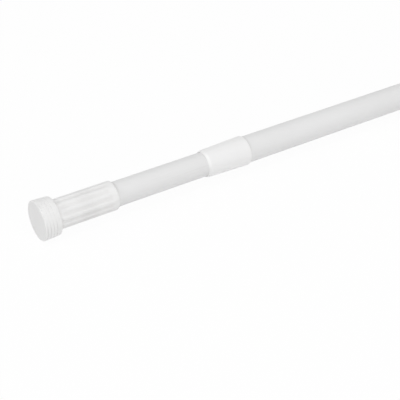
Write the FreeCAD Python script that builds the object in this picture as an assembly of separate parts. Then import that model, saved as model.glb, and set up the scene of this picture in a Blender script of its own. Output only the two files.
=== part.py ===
import FreeCAD, Part
import math
import os

# A spring tension rod that is wedged between two walls to hold a curtain.
# A slim steel tube slides in a wider one, each tube has a moulded cap on its wall end, and a
# collar closes the wider tube's mouth. Inside, a spindle carries a cone that spreads a split
# sleeve against the wide tube's bore, and a coil spring pushes the slim tube outwards.
# X runs along the rod from the large cap's wall face, which is the origin, to the small cap.
# Z is up. Every size is in millimetres.

V = FreeCAD.Vector
RODS_AXIS = V(1, 0, 0)

# Clearances between pieces
push_gap = 0.05          # radial, between pieces that are pushed or pressed together
running_gap = 0.10       # radial, between pieces that slide or turn in one another
thread_gap = 0.05        # radial, between a plain thread and its nut
loose_gap = 0.30         # radial, round a piece that is guided elsewhere
face_gap = 0.10          # between flat faces that move against each other

# Tubes
outer_od = 28.0
outer_wall = 0.8
outer_length = 594.0
tube_gap = 0.7           # radial, between the two tubes, bridged by the collar and the bush
inner_wall = 0.8
exposed_length = 102.0   # bare slim tube between the collar and the small cap, at rest
spindle_room = 75.0      # from the wide tube's closed end to the spindle's tip, at rest
bead_depth = 0.5         # ring rolled into the slim tube to hold a plug
bead_width = 2.6

# Caps
cap_web = 8.0            # solid end that the tube stands on
foot_draft = 0.7         # how much smaller a foot's radius is on its tube side
foot_face_edge = 2.6
foot_back_edge = 2.6
lip_edge = 1.6
large_foot_length = 20.0
large_foot_rim = 2.95    # how far the foot stands out from its sleeve
large_sleeve_length = 77.0
large_sleeve_wall = 3.2
small_foot_length = 19.5
small_foot_rim = 4.85
small_sleeve_length = 61.5
small_sleeve_wall = 2.2

# Flutes along the sleeves
flute_count = 12
flute_share = 0.70       # share of the pitch that one flute takes
flute_depth = 0.85
flute_turn = -4.0        # degrees about X from the top to the first flute
flute_lip = 4.5          # plain ring left at the sleeve's mouth
flute_run_out = 4.0      # ramp that brings each flute's floor up to the lip

# Grip grooves round the small foot
groove_count = 4
groove_pitch = 3.5
groove_width = 1.2
groove_depth = 0.4
groove_inset = 5.0       # from the wall face to the first groove

# Collar
collar_reach = 15.0      # how far the nose stands past the wide tube's mouth
collar_cover = 35.0      # how far the collar covers the wide tube
collar_tip_wall = 0.5
collar_cone_length = 3.0
collar_nose_wall = 1.6   # round the slim tube, behind the nose cone
collar_rim_wall = 1.5    # round the wide tube, at the rim
collar_rim_edge = 1.2
collar_spigot = 38.0     # guide sleeve inside the wide tube's mouth

# Bush in the slim tube's inner end
bush_flange = 2.5
bush_length = 18.0
plug_edge = 0.5          # broken edge where a plug enters its tube or its coil

# Spindle
thread_size = 6.0
shank_flats = 8.0
shoulder_radius = 7.0
shoulder_length = 3.0
spindle_edge = 0.6
spindle_past_nut = 2.0
washer_radius = 9.0
washer_length = 1.5
nut_flats = 10.0
nut_length = 5.0
nut_play = 0.5           # between the stop nut and the released cone

# Spring
spring_travel = 30.0
travel_reserve = 2.0     # shank left bare when the spring is fully pushed in
spring_length = 66.0     # as installed
spring_wire = 2.0
spring_mean_radius = 9.0
spring_active_turns = 9
spring_turn_steps = 12   # straight lengths that stand for one turn
spring_seat_gap = 0.05
follower_flange = 3.0
follower_nut_seat = 1.4  # how deep in the pilot the nut's seat lies
pilot_length = 7.0
pilot_gap = 0.25         # radial, between a pilot and the spring's coils
stop_length = 16.0

# Expansion sleeve, its rings and the cone
sleeve_length = 26.0
sleeve_end_wall = 5.0
sleeve_land_drop = 0.2   # how far the sleeve lies under its rings
finger_wall = 2.1
slot_width = 1.6
slot_length = 19.0
ring_width = 2.4
ring_thickness = 1.3
ring_inset = 5.0
ring_pitch = 9.0
ring_count = 2
cone_length = 22.0
cone_entry = 13.0        # how far the released cone reaches into the sleeve
cone_angle = 8.0         # degrees, half angle
cone_travel = 1.5
key_width = 1.3
key_clear = 0.4          # between the cone's keys and the rings

# How finely the rounded edges are drawn
edge_steps = 2           # flats that stand for a moulded, rounded edge

# Radii that follow from those sizes
outer_radius = outer_od / 2
outer_bore = outer_radius - outer_wall
inner_radius = outer_bore - tube_gap
inner_bore = inner_radius - inner_wall
plug_radius = inner_bore - push_gap
guide_radius = outer_bore - running_gap
large_socket = outer_radius + push_gap
large_sleeve_radius = large_socket + large_sleeve_wall
small_socket = inner_radius + push_gap
small_sleeve_radius = small_socket + small_sleeve_wall
large_foot_radius = large_sleeve_radius + large_foot_rim
small_foot_radius = small_sleeve_radius + small_foot_rim
thread_radius = thread_size / 2
spindle_hole = thread_radius + thread_gap
pilot_radius = spring_mean_radius - spring_wire / 2 - pilot_gap
ring_inner = guide_radius - ring_thickness
sleeve_radius = guide_radius - sleeve_land_drop
sleeve_mouth = sleeve_radius - finger_wall
cone_slope = math.tan(math.radians(cone_angle))
cone_side_gap = cone_travel * cone_slope + running_gap

# Places along the rod that follow from those sizes, first from the wide tube's closed end
outer_start = cap_web
outer_mouth = outer_start + outer_length
collar_tip = outer_mouth + collar_reach
collar_rim = outer_mouth - collar_cover
spigot_end = outer_mouth - collar_spigot
small_lip = collar_tip + exposed_length
rod_end = small_lip + small_sleeve_length + small_foot_length
inner_end = rod_end - cap_web
spindle_start = outer_start + spindle_room
stop_nut_start = spindle_start + spindle_past_nut
cone_start = stop_nut_start + nut_length + nut_play
cone_tip = cone_start + cone_length
sleeve_start = cone_tip - cone_entry
sleeve_end = sleeve_start + sleeve_length
shoulder_start = sleeve_end + washer_length + face_gap
shoulder_end = shoulder_start + shoulder_length
bush_face = shoulder_end + travel_reserve + spring_travel
inner_start = bush_face + bush_flange
bush_back = inner_start + bush_length
follower_start = bush_back + face_gap
spring_start = follower_start + follower_flange
follower_end = spring_start + pilot_length
follower_nut_start = spring_start + follower_nut_seat
spring_seat = spring_start + spring_length
stop_pilot_start = spring_seat - pilot_length
stop_end = spring_seat + stop_length
bush_bead = inner_start + bush_length / 2
stop_bead = spring_seat + stop_length / 2


def eased_outline(corners, steps):
    """Points of a closed outline through (x, radius, ease) corners, each cut round in steps."""
    outline = []
    for index, (x, r, ease) in enumerate(corners):
        corner = V(x, r, 0)
        before = V(*corners[index - 1][:2], 0) - corner
        after = V(*corners[(index + 1) % len(corners)][:2], 0) - corner
        if ease <= 0:
            outline.append(corner)
            continue
        half = before.getAngle(after) / 2
        start = before.normalize() * (ease / math.tan(half))
        middle = (before + after.normalize()).normalize() * (ease / math.sin(half))
        turn_side = math.copysign(1, after.cross(before).z)
        spoke = start - middle
        for step in range(steps + 1):
            turn = turn_side * (math.pi - 2 * half) * step / steps
            swung = V(spoke.x * math.cos(turn) - spoke.y * math.sin(turn),
                      spoke.x * math.sin(turn) + spoke.y * math.cos(turn), 0)
            outline.append(corner + middle + swung)
    return outline


def turned(corners, steps=1):
    """Solid of revolution about the rod's axis from the corners of its half section."""
    outline = eased_outline(corners, steps)
    face = Part.Face(Part.makePolygon(outline + outline[:1]))
    return face.revolve(V(0, 0, 0), RODS_AXIS, 360)


def bar(start, length, radius):
    """Plain round bar on the rod's axis."""
    return Part.makeCylinder(radius, length, V(start, 0, 0), RODS_AXIS)


def hex_bar(start, length, flats):
    """Six-sided bar on the rod's axis, with two of its flats upright."""
    reach = flats / 2 / math.cos(math.pi / 6)
    turns = [math.radians(60 * side + 30) for side in range(7)]
    points = [V(start, reach * math.sin(turn), reach * math.cos(turn)) for turn in turns]
    return Part.Face(Part.makePolygon(points)).extrude(V(length, 0, 0))


def mirrored(shape, station):
    """The same shape turned end for end about a station along the rod."""
    return shape.mirror(V(station, 0, 0), RODS_AXIS)


def bead_corners(station, radius, spare):
    """Three corners of a shallow ring that dips below a radius at a station."""
    half = bead_width / 2 + spare
    return [
        (station - half, radius, 0),
        (station, radius - bead_depth - spare, 0),
        (station + half, radius, 0),
    ]


def outer_tube():
    return turned([
        (outer_start, outer_bore, 0),
        (outer_start, outer_radius, 0),
        (outer_mouth, outer_radius, 0),
        (outer_mouth, outer_bore, 0),
    ])


def inner_tube():
    """Slim tube with two rolled rings that hold the bush and the spring's stop."""
    outside = [(inner_start, inner_radius, 0)]
    inside = [(inner_start, inner_bore, 0)]
    for station in (bush_bead, stop_bead):
        outside += bead_corners(station, inner_radius, 0)
        inside += bead_corners(station, inner_bore, 0)
    outside.append((inner_end, inner_radius, 0))
    inside.append((inner_end, inner_bore, 0))
    return turned(outside + inside[::-1])


def flute_cutter(start, end, radius):
    """Round bar that sinks one flute into a sleeve of a radius, with a ramp at its end."""
    half_turn = math.pi / flute_count * flute_share
    floor = radius - flute_depth
    rise = radius * math.cos(half_turn) - floor
    chord = radius * math.sin(half_turn)
    cutter_radius = (rise * rise + chord * chord) / (2 * rise)
    middle = floor + cutter_radius
    length = end + flute_run_out - start
    cutter = Part.makeCylinder(cutter_radius, length, V(start, 0, middle), RODS_AXIS)
    side = [
        V(start, -radius, floor - flute_depth),
        V(end - 2 * flute_run_out, -radius, floor - flute_depth),
        V(end + flute_run_out, -radius, radius + flute_depth),
        V(start, -radius, radius + flute_depth),
    ]
    ramp = Part.Face(Part.makePolygon(side + side[:1])).extrude(V(0, 2 * radius, 0))
    return cutter.common(ramp)


def fluted_sleeve(start, end, radius):
    """Round sleeve whose flutes start under the foot and run out before the mouth's lip."""
    sleeve = turned([
        (start, 0, 0),
        (start, radius, 0),
        (end, radius, lip_edge),
        (end, 0, 0),
    ], edge_steps)
    cutter = flute_cutter(start, end - flute_lip, radius)
    cutters = []
    for index in range(flute_count):
        angle = flute_turn + 360.0 * index / flute_count
        cutters.append(cutter.rotated(V(0, 0, 0), RODS_AXIS, angle))
    return sleeve.cut(cutters)


def foot_corners(length, radius):
    """Half section of a foot whose wall face is at the origin."""
    return [
        (0, 0, 0),
        (0, radius, foot_face_edge),
        (length, radius - foot_draft, foot_back_edge),
        (length, 0, 0),
    ]


def grooved_foot_corners(length, radius):
    """The foot's half section with a row of grip grooves in its side."""
    slope = foot_draft / length
    corners = foot_corners(length, radius)
    grooves = []
    for index in range(groove_count):
        middle = groove_inset + index * groove_pitch
        for station, sink in ((middle - groove_width / 2, 0), (middle, groove_depth),
                              (middle + groove_width / 2, 0)):
            grooves.append((station, radius - slope * station - sink, 0))
    return corners[:2] + grooves + corners[2:]


def capped_sleeve(foot, foot_length, sleeve_length_out, radius, socket):
    """Cap with its wall face at the origin: a foot, a fluted sleeve and a blind tube socket."""
    end = foot_length + sleeve_length_out
    sleeve = fluted_sleeve(foot_length / 2, end, radius)
    cap = foot.fuse(sleeve).cut(bar(cap_web, end, socket))
    return cap.removeSplitter()


def large_end_cap():
    foot = turned(foot_corners(large_foot_length, large_foot_radius), edge_steps)
    return capped_sleeve(foot, large_foot_length, large_sleeve_length,
                         large_sleeve_radius, large_socket)


def small_end_cap():
    foot = turned(grooved_foot_corners(small_foot_length, small_foot_radius), edge_steps)
    cap = capped_sleeve(foot, small_foot_length, small_sleeve_length,
                        small_sleeve_radius, small_socket)
    return mirrored(cap, rod_end / 2)


def collar():
    """Tapered collar with a seat for the wide tube's mouth and a long thin guide sleeve."""
    bore = inner_radius + running_gap
    spigot_radius = outer_bore - push_gap
    tip_radius = bore + collar_tip_wall
    nose_radius = bore + collar_nose_wall
    seat_radius = outer_radius + push_gap
    rim_radius = seat_radius + collar_rim_wall
    return turned([
        (spigot_end, bore, 0),
        (spigot_end, spigot_radius, 0),
        (outer_mouth, spigot_radius, 0),
        (outer_mouth, seat_radius, 0),
        (collar_rim, seat_radius, 0),
        (collar_rim, rim_radius, collar_rim_edge),
        (collar_tip - collar_cone_length, nose_radius, 0),
        (collar_tip, tip_radius, 0),
        (collar_tip, bore, 0),
    ], edge_steps)


def nose_bush():
    """Flanged bush in the slim tube's inner end, with a six-sided way for the spindle."""
    body = turned([
        (bush_face, 0, 0),
        (bush_face, guide_radius, 0),
        (inner_start, guide_radius, 0),
        (inner_start, plug_radius, 0),
        *bead_corners(bush_bead, plug_radius, push_gap),
        (bush_back, plug_radius, plug_edge),
        (bush_back, 0, 0),
    ])
    flats = shank_flats + 2 * running_gap
    return body.cut(hex_bar(bush_face, bush_flange + bush_length, flats))


def spindle():
    """Six-sided shank with a shoulder, and a plain threaded length at each end."""
    near_thread = turned([
        (spindle_start, 0, 0),
        (spindle_start, thread_radius, spindle_edge),
        (shoulder_start, thread_radius, 0),
        (shoulder_start, shoulder_radius, 0),
        (shoulder_end, shoulder_radius, 0),
        (shoulder_end, 0, 0),
    ])
    far_thread = turned([
        (follower_start, 0, 0),
        (follower_start, thread_radius, 0),
        (follower_end, thread_radius, 0),
        (follower_end, 0, 0),
    ])
    shank = hex_bar(shoulder_end, follower_start - shoulder_end, shank_flats)
    return near_thread.fuse([shank, far_thread])


def thrust_washer():
    return bar(sleeve_end, washer_length, washer_radius).cut(
        bar(sleeve_end, washer_length, spindle_hole))


def hex_nut(start):
    """Six-sided nut with a plain bore."""
    return hex_bar(start, nut_length, nut_flats).cut(bar(start, nut_length, spindle_hole))


def spring_follower():
    """Disc on the spindle's end, with a pilot in the spring that hides the nut."""
    well_radius = nut_flats / math.sqrt(3) + loose_gap
    return turned([
        (follower_start, spindle_hole, 0),
        (follower_start, inner_bore - loose_gap, 0),
        (spring_start, inner_bore - loose_gap, 0),
        (spring_start, pilot_radius, 0),
        (follower_end, pilot_radius, 0),
        (follower_end, well_radius, 0),
        (follower_nut_start, well_radius, 0),
        (follower_nut_start, spindle_hole, 0),
    ])


def spring_stop():
    """Plug fixed in the slim tube, with a pilot that centres the spring."""
    return turned([
        (stop_pilot_start, 0, 0),
        (stop_pilot_start, pilot_radius, plug_edge),
        (spring_seat, pilot_radius, 0),
        (spring_seat, plug_radius, 0),
        *bead_corners(stop_bead, plug_radius, push_gap),
        (stop_end, plug_radius, 0),
        (stop_end, 0, 0),
    ])


def compression_spring():
    """Wire coil with one closed turn at each end, in short straight lengths of six-sided wire."""
    section_radius = spring_wire / 2 * math.sqrt(math.pi / (1.5 * math.sqrt(3)))
    path_radius = spring_mean_radius / math.cos(math.pi / spring_turn_steps)
    first = spring_start + spring_seat_gap + section_radius
    last = spring_seat - spring_seat_gap - section_radius
    closed_rise = 2 * section_radius + spring_seat_gap
    open_rise = (last - first - 2 * closed_rise) / spring_active_turns
    turns = spring_active_turns + 2
    points = []
    for index in range(turns * spring_turn_steps + 1):
        turn = index / spring_turn_steps
        open_turns = min(max(turn - 1, 0), spring_active_turns)
        rise = open_turns * open_rise + (turn - open_turns) * closed_rise
        angle = 2 * math.pi * turn
        points.append(V(first + rise, path_radius * math.cos(angle), path_radius * math.sin(angle)))
    heading = points[1] - points[0]
    across = heading.cross(RODS_AXIS).normalize()
    corners = []
    for side in range(7):
        spun = FreeCAD.Rotation(heading, 60 * side).multVec(across)
        corners.append(points[0] + spun * section_radius)
    section = Part.makePolygon(corners)
    return Part.makePolygon(points).makePipeShell([section], True, False, 1)


def expansion_sleeve():
    """Split sleeve with a tapered mouth for the cone and a groove for each rubber ring."""
    taper_length = cone_entry + cone_travel + running_gap
    taper_end = sleeve_mouth - taper_length * cone_slope
    blank = turned([
        (sleeve_start, sleeve_mouth, 0),
        (sleeve_start, sleeve_radius, 0),
        (sleeve_end, sleeve_radius, 0),
        (sleeve_end, spindle_hole, 0),
        (sleeve_end - sleeve_end_wall, spindle_hole, 0),
        (sleeve_end - sleeve_end_wall, taper_end, 0),
        (sleeve_start + taper_length, taper_end, 0),
    ])
    cutters = []
    for station in ring_stations():
        groove = bar(station - push_gap, ring_width + 2 * push_gap, guide_radius)
        floor = bar(station - push_gap, ring_width + 2 * push_gap, ring_inner - push_gap)
        cutters.append(groove.cut(floor))
    reach = 2 * guide_radius
    across = Part.makeBox(slot_length, reach, slot_width,
                          V(sleeve_start, -reach / 2, -slot_width / 2))
    cutters.append(across)
    cutters.append(across.rotated(V(0, 0, 0), RODS_AXIS, 90))
    return blank.cut(cutters)


def ring_stations():
    """Where each rubber ring starts along the rod."""
    return [sleeve_start + ring_inset + index * ring_pitch for index in range(ring_count)]


def grip_ring(station):
    """Rubber ring that closes the sleeve's fingers and rubs in the wide tube's bore."""
    return turned([
        (station, ring_inner, 0),
        (station, guide_radius, 0),
        (station + ring_width, guide_radius, 0),
        (station + ring_width, ring_inner, 0),
    ])


def wedge_cone():
    """Cone on the spindle's thread, with keys in the sleeve's slots so that it can't turn."""
    mouth_radius = sleeve_mouth - cone_side_gap
    tip_radius = mouth_radius - cone_entry * cone_slope
    back_radius = tip_radius + cone_length * cone_slope
    body = turned([
        (cone_start, 0, 0),
        (cone_start, back_radius, 0),
        (cone_tip, tip_radius, 0),
        (cone_tip, 0, 0),
    ])
    key_radius = ring_inner - key_clear
    key = Part.makeBox(cone_length, 2 * key_radius, key_width,
                       V(cone_start, -key_radius, -key_width / 2))
    keys = key.fuse(key.rotated(V(0, 0, 0), RODS_AXIS, 90))
    return body.fuse(keys.common(bar(cone_start, cone_length, key_radius))).cut(
        bar(cone_start, cone_length, spindle_hole))


def all_nodes():
    """Every piece of the rod by the name of its node."""
    nodes = {
        "outer_tube": outer_tube(),
        "collar": collar(),
        "large_end_cap": large_end_cap(),
        "inner_tube": inner_tube(),
        "small_end_cap": small_end_cap(),
        "nose_bush": nose_bush(),
        "spring_stop": spring_stop(),
        "compression_spring": compression_spring(),
        "spring_follower": spring_follower(),
        "follower_nut": hex_nut(follower_nut_start),
        "spindle": spindle(),
        "thrust_washer": thrust_washer(),
        "expansion_sleeve": expansion_sleeve(),
        "wedge_cone": wedge_cone(),
        "stop_nut": hex_nut(stop_nut_start),
    }
    for index, station in enumerate(ring_stations()):
        nodes["grip_ring_%d" % (index + 1)] = grip_ring(station)
    return nodes


os.makedirs("parts", exist_ok=True)
for name, shape in all_nodes().items():
    shape.exportStep("parts/" + name + ".step")
    print(name, shape.isValid(), len(shape.Solids), round(shape.Volume, 1))
print("length at rest:", rod_end)
print("slide before the caps or the stops meet:", -(exposed_length - spring_travel),
      spigot_end - inner_start)
print("length of the slim tube:", inner_end - inner_start)
print("fixed end of the spring:", spring_seat)
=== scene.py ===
# %% [markdown]
# # A spring tension rod for a curtain
# The rod is wedged between two walls. A slim tube slides in a wider one, a collar closes the
# wider tube's mouth, and a soft fluted cap on each end grips the wall. The twist lock and the
# spring are out of sight inside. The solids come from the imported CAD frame, which stays as it is.
# This script gives each of them its finish, and draws finer skins for the five pieces that show
# and for the coil spring.

# %% Load the frame
import math

import bpy
import numpy as np
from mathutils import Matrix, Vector


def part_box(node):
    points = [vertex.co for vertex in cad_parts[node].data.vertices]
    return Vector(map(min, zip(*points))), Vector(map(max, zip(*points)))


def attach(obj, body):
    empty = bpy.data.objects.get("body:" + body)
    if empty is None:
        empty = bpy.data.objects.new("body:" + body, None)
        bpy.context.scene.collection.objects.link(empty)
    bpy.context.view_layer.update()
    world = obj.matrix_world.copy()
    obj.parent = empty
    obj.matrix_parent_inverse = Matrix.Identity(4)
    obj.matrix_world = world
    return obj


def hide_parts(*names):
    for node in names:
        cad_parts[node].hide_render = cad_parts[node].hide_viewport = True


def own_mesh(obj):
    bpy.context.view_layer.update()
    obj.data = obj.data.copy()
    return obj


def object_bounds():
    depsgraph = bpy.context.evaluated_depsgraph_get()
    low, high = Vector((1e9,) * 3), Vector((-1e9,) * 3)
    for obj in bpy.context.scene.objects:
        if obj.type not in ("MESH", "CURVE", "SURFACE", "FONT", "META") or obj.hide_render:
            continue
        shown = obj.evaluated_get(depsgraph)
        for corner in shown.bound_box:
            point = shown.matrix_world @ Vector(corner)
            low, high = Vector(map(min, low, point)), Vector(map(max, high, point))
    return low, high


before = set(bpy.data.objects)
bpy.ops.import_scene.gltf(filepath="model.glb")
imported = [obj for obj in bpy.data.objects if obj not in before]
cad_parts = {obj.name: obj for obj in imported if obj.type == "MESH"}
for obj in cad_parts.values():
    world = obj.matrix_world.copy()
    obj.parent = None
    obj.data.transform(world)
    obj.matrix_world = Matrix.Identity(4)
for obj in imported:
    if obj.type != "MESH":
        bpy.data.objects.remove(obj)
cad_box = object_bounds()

print("nodes:", sorted(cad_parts))

# %% [markdown]
# ## Sizes
# Lengths are in metres and angles in radians. What the frame knows is read from it, so that a skin
# can't drift from the solid that it stands for. What a box can't tell, such as how far the foot
# stands out past the sleeve, is a named value.

# %% Read the pieces' places and name the other sizes
MM = 0.001

push_clearance = 0.05 * MM
collar_cover = 35.0 * MM
large_foot_length = 20.0 * MM
large_foot_rim = 2.95 * MM
large_sleeve_wall = 3.2 * MM
small_foot_length = 18.9 * MM
small_foot_rim = 5.30 * MM
small_sleeve_wall = 2.2 * MM


def span(node):
    """Start and end of a node along the rod, and its greatest radius."""
    low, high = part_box(node)
    return low[0], high[0], high[1]


wide_start, wide_mouth, wide_radius = span("outer_tube")
slim_start, slim_end, slim_radius = span("inner_tube")
collar_back, collar_tip, collar_radius = span("collar")
collar_rim = wide_mouth - collar_cover
small_lip, rod_end = span("small_end_cap")[:2]
large_lip = span("large_end_cap")[1]
large_sleeve_radius = wide_radius + push_clearance + large_sleeve_wall
small_sleeve_radius = slim_radius + push_clearance + small_sleeve_wall
large_foot_radius = large_sleeve_radius + large_foot_rim
small_foot_radius = small_sleeve_radius + small_foot_rim
print("rod length at rest: %.1f mm" % (rod_end / MM))
print("feet: %.1f and %.1f mm across" % (2 * large_foot_radius / MM, 2 * small_foot_radius / MM))

# %% [markdown]
# ## Camera
# The rod lies along X, and in the photo its small cap is nearest to the lens. The camera stands
# off that end, high up, and looks back along the rod. Its place was found from the tubes' edges
# and from where the caps and the collar end. It isn't rolled, and its axis goes through the middle
# of the picture, so no shift is needed.

# %% Set up the camera
view_azimuth = math.radians(147.268)
view_elevation = math.radians(34.177)
camera_place = Vector((1101.3, 749.3, 562.6)) * MM
picture_width = 400
focal_pixels = 1050

camera = bpy.data.objects.new("camera", bpy.data.cameras.new("camera"))
bpy.context.scene.collection.objects.link(camera)
back = Vector((
    math.sin(view_azimuth) * math.cos(view_elevation),
    -math.cos(view_azimuth) * math.cos(view_elevation),
    math.sin(view_elevation),
))
camera.location = camera_place
camera.rotation_mode = "QUATERNION"
camera.rotation_quaternion = (-back).to_track_quat("-Z", "Y")
camera.data.sensor_width = 36.0
camera.data.lens = camera.data.sensor_width * focal_pixels / picture_width
camera.data.clip_start = 0.01
camera.data.clip_end = 50.0
bpy.context.scene.camera = camera
print("lens: %.1f mm" % camera.data.lens)

# %% [markdown]
# ## Shader sums
# A finish is easier to read as a sum than as a list of nodes and links. `Reading` wraps one
# socket, and each operator on it adds one Math node. The reflected operators let a number stand
# first, so that 1 - mask works.


# %% Wrap a socket
class Reading:
    """The value of one socket. Sums with numbers or other readings add Math nodes."""

    def __init__(self, tree, socket):
        self.tree = tree
        self.socket = socket

    def math(self, operation, *values):
        return self.tree.node("ShaderNodeMath", {"operation": operation}, dict(enumerate(values)))

    def __add__(self, other):
        return self.math("ADD", self, other)

    def __radd__(self, other):
        return self.math("ADD", other, self)

    def __sub__(self, other):
        return self.math("SUBTRACT", self, other)

    def __rsub__(self, other):
        return self.math("SUBTRACT", other, self)

    def __mul__(self, other):
        return self.math("MULTIPLY", self, other)

    def __rmul__(self, other):
        return self.math("MULTIPLY", other, self)

    def __abs__(self):
        return self.math("ABSOLUTE", self)

    def at_least(self, other):
        """The larger of this and another."""
        return self.math("MAXIMUM", self, other)

    def between(self, low, high):
        """0 below low, 1 above high, and a smooth step from one to the other."""
        settings = {"interpolation_type": "SMOOTHSTEP"}
        values = {"Value": self, "From Min": low, "From Max": high}
        return self.tree.node("ShaderNodeMapRange", settings, values)


print("Reading adds nodes for: + - * abs at_least between")

# %% [markdown]
# `Tree` makes any other node with one method, for a material or for the world. A node's settings
# are made before its sockets are fed, because some of them change which sockets it has. Light
# paths tell what the camera sees from what lights the rod, which the white floor and the white
# world both need.


# %% Wrap the nodes of a material or of the world
class Tree:
    """The nodes of one material or of the world."""

    def __init__(self, owner):
        owner.use_nodes = True
        self.nodes = owner.node_tree.nodes
        self.links = owner.node_tree.links

    def feed(self, socket, value):
        if isinstance(value, Reading):
            self.links.new(value.socket, socket)
        else:
            socket.default_value = value

    def node(self, kind, settings=None, values=None, out=0):
        """A node of a kind, with its settings made first, then its sockets' values or links."""
        made = self.nodes.new(kind)
        for name, value in (settings or {}).items():
            setattr(made, name, value)
        for socket, value in (values or {}).items():
            self.feed(made.inputs[socket], value)
        return Reading(self, made.outputs[out])

    def seen_directly(self):
        """1 for what the camera sees, by itself, in a gloss or through glass, and 0 for light."""
        camera, glossy, through = [
            self.node("ShaderNodeLightPath", out="Is %s Ray" % kind)
            for kind in ("Camera", "Glossy", "Transmission")]
        return camera.at_least(glossy).at_least(through)


print("Tree makes nodes for: materials and the world")

# %% [markdown]
# `Finish` is the tree of one material. Its patterns read the place on the piece in metres, so a
# grain has one size on every piece. Numbers that are the same all over a piece are set on the
# shader itself, so they never pass through a node.


# %% Wrap a material
class Finish(Tree):
    """A procedural material in the object's own coordinates, in metres."""

    def __init__(self, name, **constants):
        self.material = bpy.data.materials.new(name)
        super().__init__(self.material)
        self.shader = self.nodes["Principled BSDF"]
        for socket, value in constants.items():
            self.shader.inputs[socket.replace("_", " ")].default_value = value
        self.place = self.node("ShaderNodeTexCoord", out="Object")

    def stretched(self, along, across):
        """The place with its axis along the rod and the two across it scaled apart."""
        values = {"Vector": self.place, "Scale": (along, across, across)}
        return self.node("ShaderNodeMapping", {}, values)

    def noise(self, scale, detail=2.0, where=None):
        """Soft noise from 0 to 1 with a number of lumps per metre."""
        values = {"Vector": where or self.place, "Scale": scale, "Detail": detail}
        return self.node("ShaderNodeTexNoise", {}, values, out="Fac")

    def along(self, axis):
        """How far along an axis a point lies, in metres. X is the rod's axis, and Z is up."""
        return self.node("ShaderNodeSeparateXYZ", {}, {"Vector": self.place}, out=axis)

    def from_axis(self):
        """How far a point lies from the rod's axis, in metres."""
        values = {0: self.place, 1: (0, 1, 1)}
        flat = self.node("ShaderNodeVectorMath", {"operation": "MULTIPLY"}, values)
        return self.node("ShaderNodeVectorMath", {"operation": "LENGTH"}, {0: flat}, out="Value")

    def blended(self, share, colour_a, colour_b):
        """colour_a where share is 0 and colour_b where it is 1."""
        values = {0: share, 6: colour_a, 7: colour_b}
        return self.node("ShaderNodeMix", {"data_type": "RGBA"}, values, out=2)

    def colour(self, value):
        self.feed(self.shader.inputs["Base Color"], value)

    def roughness(self, value):
        self.feed(self.shader.inputs["Roughness"], value)

    def relief(self, height, depth):
        """Bumps of a depth in metres where height runs from 0 to 1."""
        bump = self.node("ShaderNodeBump", {}, {"Height": height, "Distance": depth})
        self.feed(self.shader.inputs["Normal"], bump)


def grey(level, warmth=0.0):
    """A near-neutral colour. A little warmth lifts the red and lowers the blue."""
    return (level * (1 + warmth), level, level * (1 - warmth), 1.0)


print("a warm light grey:", grey(0.8, 0.01))

# %% [markdown]
# ## White powder coat
# The tubes are steel with a baked white coat. It is satin and a shade darker than the plastic
# beside it, with the faint pebbling that such coats dry with. Plain white paint would look like
# paper, so two sizes of noise move the colour and the shine, and the slim tube also has long fine
# scuffs where the collar slides over it. A painted shade darkens the top of a tube in the corner
# beside each step, as beside a cap's lip, and draws a thin soft shadow line there.


# %% Make the coat
corner_shade_width = 4.0 * MM
corner_shade = 0.90
top_shade_heights = (1.0 * MM, 11.0 * MM)


def powder_coat(name, level, scuffed, steps):
    """White coat of a grey level, with painted shade beside each (station, side) in steps.

    A step's side is 1 or -1, for the way along the rod that the tube lies bare beside it.
    """
    coat = Finish(name, Specular_IOR_Level=0.25)
    clouds = coat.noise(22.0, 3.0)
    pebbles = coat.noise(900.0, 2.0)
    streaks = coat.noise(650.0, 3.0, coat.stretched(0.02, 1.0))
    scuffs = streaks.between(0.58, 0.80) * scuffed
    shade = (clouds * 0.5 + pebbles * 0.3 + scuffs * 0.6).between(0.15, 1.05)
    painted = coat.blended(shade, grey(level), grey(level - 0.045, 0.004))
    # Painted shade: the coat is darker on top of the tube within a few millimetres of each step, as
    # a contact shadow falls there.
    on_top = coat.along("Z").between(*top_shade_heights)
    for station, side in steps:
        away = (coat.along("X") - station) * side
        corner_shadow = (1 - away.between(0, corner_shade_width)) * on_top
        painted = coat.blended(corner_shadow, painted, grey(level * corner_shade, 0.006))
    coat.colour(painted)
    coat.roughness(0.40 + clouds * 0.10 + scuffs * 0.08)
    coat.relief(pebbles, 0.030 * MM)
    return coat.material


wide_coat = powder_coat("white_powder_coat", 0.803, 0.15, [(large_lip, 1), (collar_rim, -1)])
slim_coat = powder_coat("white_powder_coat_rubbed", 0.788, 0.8, [(small_lip, -1)])
print("coats:", wide_coat.name, slim_coat.name)

# %% [markdown]
# ## White collar plastic
# The collar is a hard, bright moulding with a soft gloss. Polished moulds leave a surface that is
# nearly smooth, with long low waves that only show in its reflections. Its thick end is handled
# most, so it is a touch duller there.

# %% Make the collar's plastic
hard = Finish("white_hard_plastic", Specular_IOR_Level=0.35)
waves = hard.noise(75.0, 1.0)
specks = hard.noise(1500.0, 2.0)
near_rim = hard.from_axis().between(collar_radius - 0.5 * MM, collar_radius)
hard.colour(hard.blended(waves * 0.6 + specks * 0.4, grey(0.885), grey(0.850, 0.004)))
hard.roughness(0.30 + waves * 0.10 + near_rim * 0.10)
hard.relief(waves * 0.7 + specks * 0.3, 0.035 * MM)
collar_plastic = hard.material
print("collar finish:", collar_plastic.name)
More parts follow.
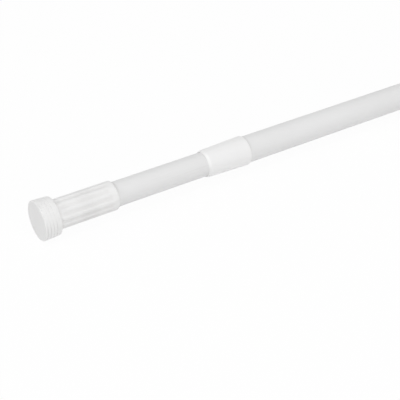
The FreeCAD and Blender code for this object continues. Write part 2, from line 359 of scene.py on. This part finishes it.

# %% [markdown]
# ## Soft white cap rubber
# The caps are a matt, slightly elastic rubber, so that they hold on a wall. The mould leaves a
# fine even grain. Shade is painted low in the flutes, more of it on the under half, in the foot's
# grooves on the under half only, and in the corner between the foot and the sleeve. Fingers leave a
# faint grey band half-way along the sleeve, darker where it crosses the painted shade. The distance
# from the axis tells the low places apart, so the painted shade follows the shape, and the height
# tells the under half apart. The depths and places of the flutes and grooves are named here, and
# the caps' shapes use them again.


# %% Make the caps' rubber
foot_draft = 1.0 * MM
flute_depth = 0.85 * MM
groove_count = 4
groove_pitch = 3.3 * MM
groove_width = 1.2 * MM
groove_depth = 0.2 * MM
groove_inset = 2.7 * MM
shade_beneath_heights = (-1.0 * MM, 10.0 * MM)
finger_band = (3.0 * MM, 13.0 * MM)


def cap_rubber(name, sleeve_radius, foot_radius, foot_length, cap_length, wall_face, toward):
    """Cap rubber for a cap with its wall face at a station, which reaches towards 1 or -1."""
    soft = Finish(name, Specular_IOR_Level=0.25)
    blotches = soft.noise(60.0, 3.0)
    grain = soft.noise(2200.0, 2.0)
    radius = soft.from_axis()
    station = (soft.along("X") - wall_face) * toward
    under = 1 - soft.along("Z").between(*shade_beneath_heights)

    # Painted shade: darker low in the flutes, more so on the under half, and on the sleeve in the
    # corner beside the foot.
    ridge = sleeve_radius - 0.15 * flute_depth
    in_flute = 1 - radius.between(sleeve_radius - flute_depth, ridge)
    in_flute = in_flute * station.between(foot_length - 0.5 * MM, foot_length)
    in_corner = 1 - (station - foot_length).between(0, corner_shade_width)
    in_corner = in_corner * station.between(foot_length - 0.1 * MM, foot_length)
    painted_recess_shade = in_flute * (0.30 + blotches * 0.35 + under * 0.35)
    painted_recess_shade = painted_recess_shade.at_least(in_corner)

    half_width = groove_width / 2
    last_groove = groove_inset + (groove_count - 1) * groove_pitch
    side = foot_radius - station * (foot_draft / foot_length)
    in_groove = (side - radius).between(0.1 * groove_depth, 0.8 * groove_depth)
    in_groove = in_groove * station.between(groove_inset - groove_width, groove_inset - half_width)
    past_last = station.between(last_groove + half_width, last_groove + groove_width)
    in_groove = in_groove * (1 - past_last)

    off_middle = abs(station - (foot_length + cap_length) / 2)
    handled = 1 - off_middle.between(*finger_band)
    handled = handled * (0.12 + blotches * 0.15 + painted_recess_shade * 0.30)

    clean = soft.blended(blotches * 0.7 + grain * 0.3, grey(0.862), grey(0.819, 0.006))
    # The painted shade of the flutes and the corner darkens the grain first, then the finger band
    # follows.
    dull = soft.blended(painted_recess_shade, clean, grey(0.770, 0.010))
    dull = soft.blended(handled, dull, grey(0.700, 0.008))
    # Painted shade in the foot's grooves, on the under half only.
    soft.colour(soft.blended(in_groove * under, dull, grey(0.700, 0.010)))
    soft.roughness(0.50 + blotches * 0.12 + painted_recess_shade * 0.06)
    soft.relief(grain * 0.7 + blotches * 0.3, 0.040 * MM)
    return soft.material


large_rubber = cap_rubber(
    "white_soft_rubber_large", large_sleeve_radius, large_foot_radius,
    large_foot_length, large_lip, 0, 1)
small_rubber = cap_rubber(
    "white_soft_rubber_small", small_sleeve_radius, small_foot_radius,
    small_foot_length, rod_end - small_lip, rod_end, -1)
print("cap finishes:", large_rubber.name, small_rubber.name)

# %% [markdown]
# ## Finishes of the hidden pieces
# Nothing shows of the lock and the spring until the rod is taken apart, but each piece still has
# its own finish. The mouldings differ in colour, as they would in a real lock: natural white for
# the plugs, grey for the split sleeve, black for its cone and its rubber rings. The steel pieces
# are zinc plated, and the spring is bare drawn wire under a film of oil.


# %% Make the hidden finishes
def plain_moulding(name, level, warmth, roughness, grain_scale):
    """Moulded plastic or rubber with a grain and slow changes of shade."""
    made = Finish(name, Specular_IOR_Level=0.40)
    slow = made.noise(90.0, 2.0)
    fine = made.noise(grain_scale, 2.0)
    mix = slow * 0.6 + fine * 0.4
    made.colour(made.blended(mix, grey(level * 1.06, warmth), grey(level * 0.92, warmth)))
    made.roughness(roughness + slow * 0.12)
    made.relief(fine, 0.030 * MM)
    return made.material


def bright_metal(name, level, warmth, roughness, stretch):
    """Metal with fine lines along or round the piece, from noise stretched along the rod."""
    made = Finish(name, Metallic=1.0)
    lines = made.noise(1800.0, 3.0, made.stretched(stretch, 1.0))
    clouds = made.noise(120.0, 2.0)
    mix = clouds * 0.6 + lines * 0.4
    made.colour(made.blended(mix, grey(level, warmth), grey(level * 0.86, warmth)))
    made.roughness(roughness + lines * 0.14)
    made.relief(lines, 0.012 * MM)
    return made.material


guide_plastic = plain_moulding("natural_guide_plastic", 0.74, 0.010, 0.42, 1400.0)
sleeve_plastic = plain_moulding("grey_sleeve_plastic", 0.30, -0.010, 0.45, 1400.0)
cone_plastic = plain_moulding("black_cone_plastic", 0.060, 0.0, 0.40, 1400.0)
ring_rubber = plain_moulding("black_ring_rubber", 0.035, 0.0, 0.62, 2600.0)
spindle_steel = bright_metal("zinc_plated_steel", 0.66, 0.010, 0.28, 0.05)
spring_steel = bright_metal("drawn_spring_wire", 0.46, 0.0, 0.30, 0.5)
hidden = [guide_plastic, sleeve_plastic, cone_plastic, ring_rubber, spindle_steel, spring_steel]
print("hidden finishes:", ", ".join(made.name for made in hidden))

# %% [markdown]
# ## Outlines
# Every piece that shows is round about the rod's axis, so it is drawn as an outline of
# (x, radius) points and then turned. Corners are rounded by arcs first, because moulded and rolled
# edges are never sharp. A Bevel modifier would give every edge the same radius, while here each
# corner has its own. Points that agree to seven decimals of a metre are taken as one.


# %% Write the outline's roundings
point_decimals = 7


def unit(directions):
    """Each direction at a length of 1."""
    return directions / np.linalg.norm(directions, axis=1, keepdims=True)


def eased(corners, steps=8):
    """Closed outline through (x, radius, ease) corners, each rounded by an arc of radius ease.

    With h half the angle at a corner, the arc starts ease / tan(h) before the corner, its centre
    lies ease / sin(h) from it on the bisector, and it turns through pi - 2h.
    """
    x, r, ease = np.array(corners, float).T
    corner = np.stack([x, r], axis=1)
    before = unit(np.roll(corner, 1, axis=0) - corner)
    after = unit(np.roll(corner, -1, axis=0) - corner)
    half = np.arccos(np.clip((before * after).sum(axis=1), -1, 1)) / 2
    side = np.sign(after[:, 0] * before[:, 1] - after[:, 1] * before[:, 0])
    start = before * (ease / np.tan(half))[:, None]
    centre = unit(before + after) * (ease / np.sin(half))[:, None]
    spoke = start - centre
    turn = (side * (np.pi - 2 * half))[:, None] * np.linspace(0, 1, steps + 1)
    swung_x = spoke[:, :1] * np.cos(turn) - spoke[:, 1:] * np.sin(turn)
    swung_r = spoke[:, :1] * np.sin(turn) + spoke[:, 1:] * np.cos(turn)
    swung = np.stack([swung_x, swung_r], axis=2)
    points = (corner[:, None] + centre[:, None] + swung).reshape(-1, 2)
    apart = np.linalg.norm(points - np.roll(points, 1, axis=0), axis=1)
    return points[apart > 10.0 ** -point_decimals]


def finely(outline, longest):
    """The outline with more points on its long straight runs."""
    steps = np.linalg.norm(np.diff(outline, axis=0), axis=1)
    travelled = np.concatenate([[0], np.cumsum(steps)])
    regular = np.arange(0, travelled[-1], longest)
    stations = np.unique(np.round(np.concatenate([travelled, regular]), point_decimals))
    return np.stack([np.interp(stations, travelled, side) for side in outline.T], axis=1)


rounded_square = eased([(0, 1, 0.2), (1, 1, 0.2), (1, 2, 0.2), (0, 2, 0.2)])
print("points on a square with four rounded corners:", len(rounded_square))

# %% [markdown]
# ## Skins of revolution
# One surface serves all the round pieces. Its first parameter runs along the outline, and its
# second turns round the axis. A lathe tool or the Screw modifier could do this too, but a grid
# worked out with numpy also lets a pattern sink into the surface, which the flutes need. The
# number of steps round the axis sets how far the flats stray from a true circle.


# %% Write the turned skin
steps_around = 192
on_axis = 1e-9


def skin(name, places, faces, crease=35.0):
    """An object at the origin from places and faces, smooth except over real edges."""
    mesh = bpy.data.meshes.new(name)
    mesh.from_pydata(places.tolist(), [], faces)
    mesh.validate()
    mesh.shade_smooth()
    mesh.set_sharp_from_angle(angle=math.radians(crease))
    made = bpy.data.objects.new(name, mesh)
    bpy.context.scene.collection.objects.link(made)
    return made


def turned_skin(name, outline, around=steps_around, sunk=None):
    """Closed skin of revolution about X.

    Grid point (i, j) is outline point i turned by the angle 2 pi j / around:
    x = x_i, y = r cos(angle), z = r sin(angle), with r = r_i less what sunk(x, r, angle) gives.
    An outline that starts and ends on the axis gets a pole at each end. Any other one is a ring.
    """
    x, r = outline.T
    if (x * np.roll(r, -1) - np.roll(x, -1) * r).sum() < 0:
        x, r = x[::-1], r[::-1]
    poled = r[0] < on_axis and r[-1] < on_axis
    if poled:
        pole_x = x[[0, -1]]
        x, r = x[1:-1], r[1:-1]
    angle = np.arange(around) * 2 * np.pi / around
    radius = np.repeat(r[:, None], around, axis=1)
    if sunk:
        radius = radius - sunk(x[:, None], radius, angle[None, :])
    places = np.stack([
        np.repeat(x[:, None], around, axis=1),
        radius * np.cos(angle),
        radius * np.sin(angle),
    ], axis=2).reshape(-1, 3)
    index = np.arange(len(x) * around).reshape(len(x), around)
    beside = np.roll(index, -1, axis=1)
    ahead = np.roll(index, -1, axis=0)
    corner = np.roll(beside, -1, axis=0)
    quads = np.stack([index, ahead, corner, beside], axis=2)
    if poled:
        places = np.concatenate([places, [(pole_x[0], 0, 0), (pole_x[1], 0, 0)]])
        first = np.full(around, len(places) - 2)
        last = np.full(around, len(places) - 1)
        fans = np.concatenate([
            np.stack([first, index[0], beside[0]], axis=1),
            np.stack([last, beside[-1], index[-1]], axis=1),
        ]).tolist()
        quads = quads[:-1]
    else:
        fans = []
    return skin(name, places, quads.reshape(-1, 4).tolist() + fans)


def dress(piece, body, node, finish):
    """Gives a skin its finish, and lets it ride in place of its CAD node."""
    piece.data.materials.append(finish)
    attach(piece, body)
    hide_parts(node)
    print(piece.name, "faces:", len(piece.data.polygons))


flat_error = wide_radius * (1 - math.cos(math.pi / steps_around))
print("greatest distance of the wide tube's skin from round: %.4f mm" % (flat_error / MM))

# %% [markdown]
# ## The two tubes
# The wide tube is plain, with a sawn and deburred end. The slim one also has two rings rolled
# into it at its hidden end, which hold the bush and the spring's stop. The frame tells where those
# two plugs sit, so the rings land on their grooves.


# %% Draw the tubes
tube_wall = 0.8 * MM
sawn_edge = 0.12 * MM
bead_depth = 0.5 * MM
bead_half_width = 1.3 * MM
tube_bend = 0.5 * MM
bush_length = 18.0 * MM
stop_length = 16.0 * MM


def tube_outline(start, end, radius, beads=()):
    """Closed outline of a tube with a bead rolled in at each station."""
    bore = radius - tube_wall
    outside = [(start, radius, sawn_edge)]
    inside = [(start, bore, sawn_edge)]
    for station in beads:
        for corners, r in ((outside, radius), (inside, bore)):
            corners.append((station - bead_half_width, r, tube_bend))
            corners.append((station, r - bead_depth, tube_bend))
            corners.append((station + bead_half_width, r, tube_bend))
    outside.append((end, radius, sawn_edge))
    inside.append((end, bore, sawn_edge))
    return eased(outside + inside[::-1])


wide_tube = turned_skin("wide_tube", tube_outline(wide_start, wide_mouth, wide_radius))
dress(wide_tube, "outer", "outer_tube", wide_coat)

bush_bead = span("nose_bush")[1] - bush_length / 2
stop_bead = span("spring_stop")[1] - stop_length / 2
slim_tube = turned_skin(
    "slim_tube", tube_outline(slim_start, slim_end, slim_radius, (bush_bead, stop_bead)))
dress(slim_tube, "inner", "inner_tube", slim_coat)

# %% [markdown]
# ## The collar
# It is a slow cone over the wide tube's mouth, with a short steep nose that catches the light as
# a bright ring, a rounded rim, and a long thin guide sleeve inside. Its outline is drawn once,
# with each edge eased by its own radius, and turned.

# %% Draw the collar
collar_clearance = 0.10 * MM
collar_tip_wall = 0.5 * MM
collar_cone_length = 3.0 * MM
collar_nose_wall = 1.6 * MM
nose_ease = 1.2 * MM
rim_ease = 0.9 * MM
mouth_ease = 0.5 * MM
guide_ease = 0.2 * MM
tip_ease = 0.15 * MM
bore_ease = 0.1 * MM

collar_bore = slim_radius + collar_clearance
collar_seat = wide_radius + push_clearance
guide_radius = wide_radius - tube_wall - push_clearance
collar_outline = eased([
    (collar_back, collar_bore, bore_ease),
    (collar_back, guide_radius, guide_ease),
    (wide_mouth, guide_radius, 0),
    (wide_mouth, collar_seat, 0),
    (collar_rim, collar_seat, mouth_ease),
    (collar_rim, collar_radius, rim_ease),
    (collar_tip - collar_cone_length, collar_bore + collar_nose_wall, nose_ease),
    (collar_tip, collar_bore + collar_tip_wall, tip_ease),
    (collar_tip, collar_bore, bore_ease),
])
collar_skin = turned_skin("tapered_collar", collar_outline)
dress(collar_skin, "outer", "collar", collar_plastic)

# %% [markdown]
# ## The fluted caps
# Each cap is one moulding: a round foot with a low dome on its face, and a sleeve with twelve
# shallow flutes that run out before a plain lip. The flutes could be cut with twelve Boolean
# bars, but booleans leave ragged shading on soft edges. Here the radius itself is a function of
# the angle, so the flutes sink into the turned grid and their ridges can be softened by a formula.


# %% Write the flutes
flute_count = 12
flute_share = 0.70
flute_turn = math.radians(86.0)
flute_lip = 3.5 * MM
flute_run_out = 6.0 * MM
flute_softness = 0.15 * MM
flush = 1e-6


def flute_floor(radius, depth, angle):
    """Distance from the axis to the round cut of the nearest flute, along a ray at an angle.

    The cut is a circle through both edges of the flute and its floor. With e half the flute's
    angle, its half width is w = radius sin(e), its rise is h = radius cos(e) - (radius - depth),
    its own radius is c = (h^2 + w^2) / 2h, and it is centred m = radius - depth + c from the
    axis. A ray at an angle a off the flute's middle meets it at
    m cos(a) - sqrt(c^2 - m^2 sin^2(a)).
    """
    edge = np.pi / flute_count * flute_share
    width = radius * np.sin(edge)
    rise = radius * np.cos(edge) - (radius - depth)
    cut = (rise * rise + width * width) / (2 * rise)
    middle = radius - depth + cut
    pitch = 2 * np.pi / flute_count
    off = np.mod(angle - flute_turn + pitch / 2, pitch) - pitch / 2
    return middle * np.cos(off) - np.sqrt(cut * cut - (middle * np.sin(off)) ** 2), off


def flutes(radius, depth, start, lip, toward):
    """A pattern that sinks flutes into a sleeve of a radius, from start to a lip.

    A ramp lifts the floor over the last stretch, and a smooth maximum of the depth and 0,
    (s + sqrt(s^2 + k^2)) / 2, rounds the ridges. Only points that lie flush with the sleeve's
    radius are sunk. toward is 1 or -1 along the rod.
    """
    def sunk(x, r, angle):
        floor, off = flute_floor(radius, depth, angle)
        left = (lip - x) * toward - flute_lip
        ramp = (radius - depth * left / flute_run_out) / np.cos(off)
        under = radius - np.maximum(floor, ramp)
        smooth = (under + np.sqrt(under * under + flute_softness ** 2)) / 2
        on_sleeve = (np.abs(r - radius) < flush) & ((x - start) * toward > -flush)
        return np.where(on_sleeve, smooth, 0)
    return sunk


flute_bottom = flute_floor(large_sleeve_radius, flute_depth, flute_turn)[0]
print("flutes: %d, %.2f mm deep" % (flute_count, (large_sleeve_radius - flute_bottom) / MM))

# %% [markdown]
# A cap's outline runs from the middle of its face over the foot and the sleeve, round the lip,
# back along the bore and in to the axis. The small foot's four grip grooves are three corners
# each, let into the foot's side.

# %% Write a cap's outline
cap_web = 8.0 * MM
dome_width = 8.0 * MM
dome_drop = 0.8 * MM
dome_ease = 60.0 * MM
foot_face_edge = 1.2 * MM
lip_edge = 1.6 * MM
socket_ease = 0.3 * MM
groove_edge = 0.5 * MM
groove_bottom = 0.3 * MM


def cap_corners(foot_length, foot_radius, back_edge, sleeve_radius, bore, lip):
    """Corners of a cap's outline with its wall face at x = 0, from the axis round to the axis."""
    return [
        (0, 0, 0),
        (0, foot_radius - dome_width, dome_ease),
        (dome_drop, foot_radius, foot_face_edge),
        (foot_length, foot_radius - foot_draft, back_edge),
        (foot_length, sleeve_radius, 0),
        (lip, sleeve_radius, lip_edge),
        (lip, bore, mouth_ease),
        (cap_web, bore, socket_ease),
        (cap_web, 0, 0),
    ]


def groove_corners(foot_length, foot_radius):
    """Corners of the grip grooves round the small foot."""
    slope = foot_draft / foot_length
    corners = []
    for index in range(groove_count):
        middle = groove_inset + index * groove_pitch
        for step, sink, ease in (
                (-0.5, 0, groove_edge), (0, groove_depth, groove_bottom), (0.5, 0, groove_edge)):
            station = middle + step * groove_width
            corners.append((station, foot_radius - slope * station - sink, ease))
    return corners


small_grooves = groove_corners(small_foot_length, small_foot_radius)
print("corners of the small foot's grooves:", len(small_grooves))

# %% [markdown]
# The large cap is drawn where it is, with its wall face at the origin. The small cap is drawn
# the same way and then turned end for end.

# %% Draw both caps
outline_step = 1.2 * MM
points_a_flute = 24
points_around = points_a_flute * flute_count
large_foot_back_edge = 1.7 * MM
small_foot_back_edge = 3.0 * MM

large_outline = finely(eased(cap_corners(
    large_foot_length, large_foot_radius, large_foot_back_edge, large_sleeve_radius,
    wide_radius + push_clearance, large_lip,
)), outline_step)
large_flutes = flutes(large_sleeve_radius, flute_depth, large_foot_length, large_lip, 1)
large_cap = turned_skin("large_fluted_cap", large_outline, points_around, large_flutes)
dress(large_cap, "outer", "large_end_cap", large_rubber)

small_corners = cap_corners(
    small_foot_length, small_foot_radius, small_foot_back_edge, small_sleeve_radius,
    slim_radius + push_clearance, rod_end - small_lip)
small_corners[3:3] = small_grooves
small_outline = finely(eased(small_corners), outline_step)
small_outline[:, 0] = rod_end - small_outline[:, 0]
small_flutes = flutes(
    small_sleeve_radius, flute_depth, rod_end - small_foot_length, small_lip, -1)
small_cap = turned_skin("small_fluted_cap", small_outline, points_around, small_flutes)
dress(small_cap, "inner", "small_end_cap", small_rubber)

# %% [markdown]
# ## The spring
# It is a coil of 2 mm wire, with one closed turn at each end. A curve with a bevel would draw it
# too, but a grid gives it whole: one parameter runs along the wire and the other round it. In the
# frame the coil is made of short straight lengths, and this skin is smooth.

# %% Draw the spring
wire_radius = 1.0 * MM
coil_radius = 9.0 * MM
open_turns = 9
seat_gap = 0.05 * MM
pilot_length = 7.0 * MM

spring_from = span("spring_follower")[1] - pilot_length
spring_to = span("spring_stop")[0] + pilot_length


def coil_skin(name, start, end, per_turn=48, around=16):
    """A closed-end coil. Point (i, j) lies at angle j round the wire at point i of its path.

    The path turns round X at a steady rate. Its rise a turn is the wire's width and a small gap
    in the first and last turns, and one larger rise in all the others.
    """
    turns = np.arange((open_turns + 2) * per_turn + 1) / per_turn
    opened = np.clip(turns - 1, 0, open_turns)
    closed_rise = 2 * wire_radius + seat_gap
    low = start + seat_gap + wire_radius
    high = end - seat_gap - wire_radius
    open_rise = (high - low - 2 * closed_rise) / open_turns
    along = low + opened * open_rise + (turns - opened) * closed_rise
    turn = 2 * np.pi * turns
    path = np.stack([along, coil_radius * np.cos(turn), coil_radius * np.sin(turn)], axis=1)
    heading = unit(np.gradient(path, axis=0))
    outward = np.stack([np.zeros_like(turn), np.cos(turn), np.sin(turn)], axis=1)
    across = np.cross(heading, outward)
    round_wire = np.arange(around) * 2 * np.pi / around
    cosine, sine = np.cos(round_wire)[:, None], np.sin(round_wire)[:, None]
    ring = outward[:, None] * cosine + across[:, None] * sine
    places = (path[:, None] + wire_radius * ring).reshape(-1, 3)
    index = np.arange(len(path) * around).reshape(len(path), around)
    beside = np.roll(index, -1, axis=1)
    quads = np.stack([index[:-1], index[1:], beside[1:], beside[:-1]], axis=2).reshape(-1, 4)
    ends = [index[0].tolist(), index[-1][::-1].tolist()]
    return skin(name, places, quads.tolist() + ends)


spring = coil_skin("coil_spring", spring_from, spring_to)
dress(spring, "inner", "compression_spring", spring_steel)
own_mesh(spring)

# %% [markdown]
# ## The pieces that stay as they are
# The lock's pieces, the plugs, the nuts and the spindle are right as the frame has them. Each
# only gets its finish, by putting it in the material slots of its own mesh.

# %% Finish the frame's own pieces
kept_pieces = {
    "nose_bush": guide_plastic,
    "spring_stop": guide_plastic,
    "spring_follower": guide_plastic,
    "expansion_sleeve": sleeve_plastic,
    "wedge_cone": cone_plastic,
    "grip_ring_1": ring_rubber,
    "grip_ring_2": ring_rubber,
    "spindle": spindle_steel,
    "thrust_washer": spindle_steel,
    "follower_nut": spindle_steel,
    "stop_nut": spindle_steel,
}
for node, finish in kept_pieces.items():
    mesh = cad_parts[node].data
    mesh.materials.clear()
    mesh.materials.append(finish)
print("kept pieces:", len(kept_pieces))

# %% [markdown]
# ## Floor and world
# The photo is a product picture on plain white. The rod lies on its two feet on a white floor.
# What the camera sees of the floor is mostly a white of its own, so that only a soft shadow is
# left under the rod. That white lights nothing, so the renderer is told not to send light samples
# to it, which would only leave grain on the rod. The world is white to the camera and in
# reflections too, but it sheds less light than that on the rod, so the lamps can model its
# roundness.

# %% Set up the floor and the world
floor_half = 6.0
floor_white_share = 0.96
world_light = 0.40

floor_level = cad_box[0][2]
corners = [(-1, -1), (1, -1), (1, 1), (-1, 1)]
floor_places = np.array([(floor_half * x, floor_half * y, floor_level) for x, y in corners])
floor = skin("floor", floor_places, [[0, 1, 2, 3]])

ground = Finish("white_ground", Roughness=0.9, Specular_IOR_Level=0.2)
mottle = ground.noise(3.0, 2.0)
ground.colour(ground.blended(mottle, grey(0.90), grey(0.88)))
lit = Reading(ground, ground.shader.outputs[0])
glow = ground.node("ShaderNodeEmission", {}, {"Color": (1, 1, 1, 1), "Strength": 1.0})
white_share = ground.seen_directly() * floor_white_share
mixed = ground.node("ShaderNodeMixShader", {}, {0: white_share, 1: lit, 2: glow})
ground.feed(ground.nodes["Material Output"].inputs["Surface"], mixed)
ground.material.cycles.emission_sampling = "NONE"
floor.data.materials.append(ground.material)

world = bpy.data.worlds.new("white_room")
bpy.context.scene.world = world
room = Tree(world)
background = room.nodes["Background"]
background.inputs["Color"].default_value = (1, 1, 1, 1)
room.feed(background.inputs["Strength"], world_light + room.seen_directly() * (1 - world_light))
print("floor at %.1f mm" % (floor_level / MM))

# %% [markdown]
# ## Lamps
# The shading of the tubes tells where the light of the photo comes from. Their brightest line
# lies a little above the middle, both edges are darker, and a dark line follows the back of each
# step in the rod. So one lamp hangs over the rod, a broader one stands lower on the camera's
# side, and a small one shines along the rod from the small cap's end and throws those lines.
# A weak one at the far end keeps the large cap's face from going grey in views from behind.

# %% Hang the lamps
middle = Vector((0.55, 0.0, 0.0))
lamp_distance = 2.5
lamps = {
    "high_lamp": {"direction": (0.10, 0.15, 0.98), "size": 1.2, "power": 18.0},
    "front_lamp": {"direction": (0.12, 0.86, 0.48), "size": 2.0, "power": 20.5},
    "end_lamp": {"direction": (0.85, -0.20, 0.49), "size": 0.5, "power": 11.2},
    "far_lamp": {"direction": (-0.96, -0.20, 0.20), "size": 1.5, "power": 6.0},
}
for name, facts in lamps.items():
    direction = Vector(facts["direction"]).normalized()
    lamp = bpy.data.objects.new(name, bpy.data.lights.new(name, "AREA"))
    lamp.data.size = facts["size"]
    lamp.data.energy = facts["power"]
    lamp.location = middle + direction * lamp_distance
    lamp.rotation_mode = "QUATERNION"
    lamp.rotation_quaternion = direction.to_track_quat("Z", "Y")
    bpy.context.scene.collection.objects.link(lamp)
bpy.context.scene.view_settings.view_transform = "Standard"
print("lamps:", ", ".join(lamps))
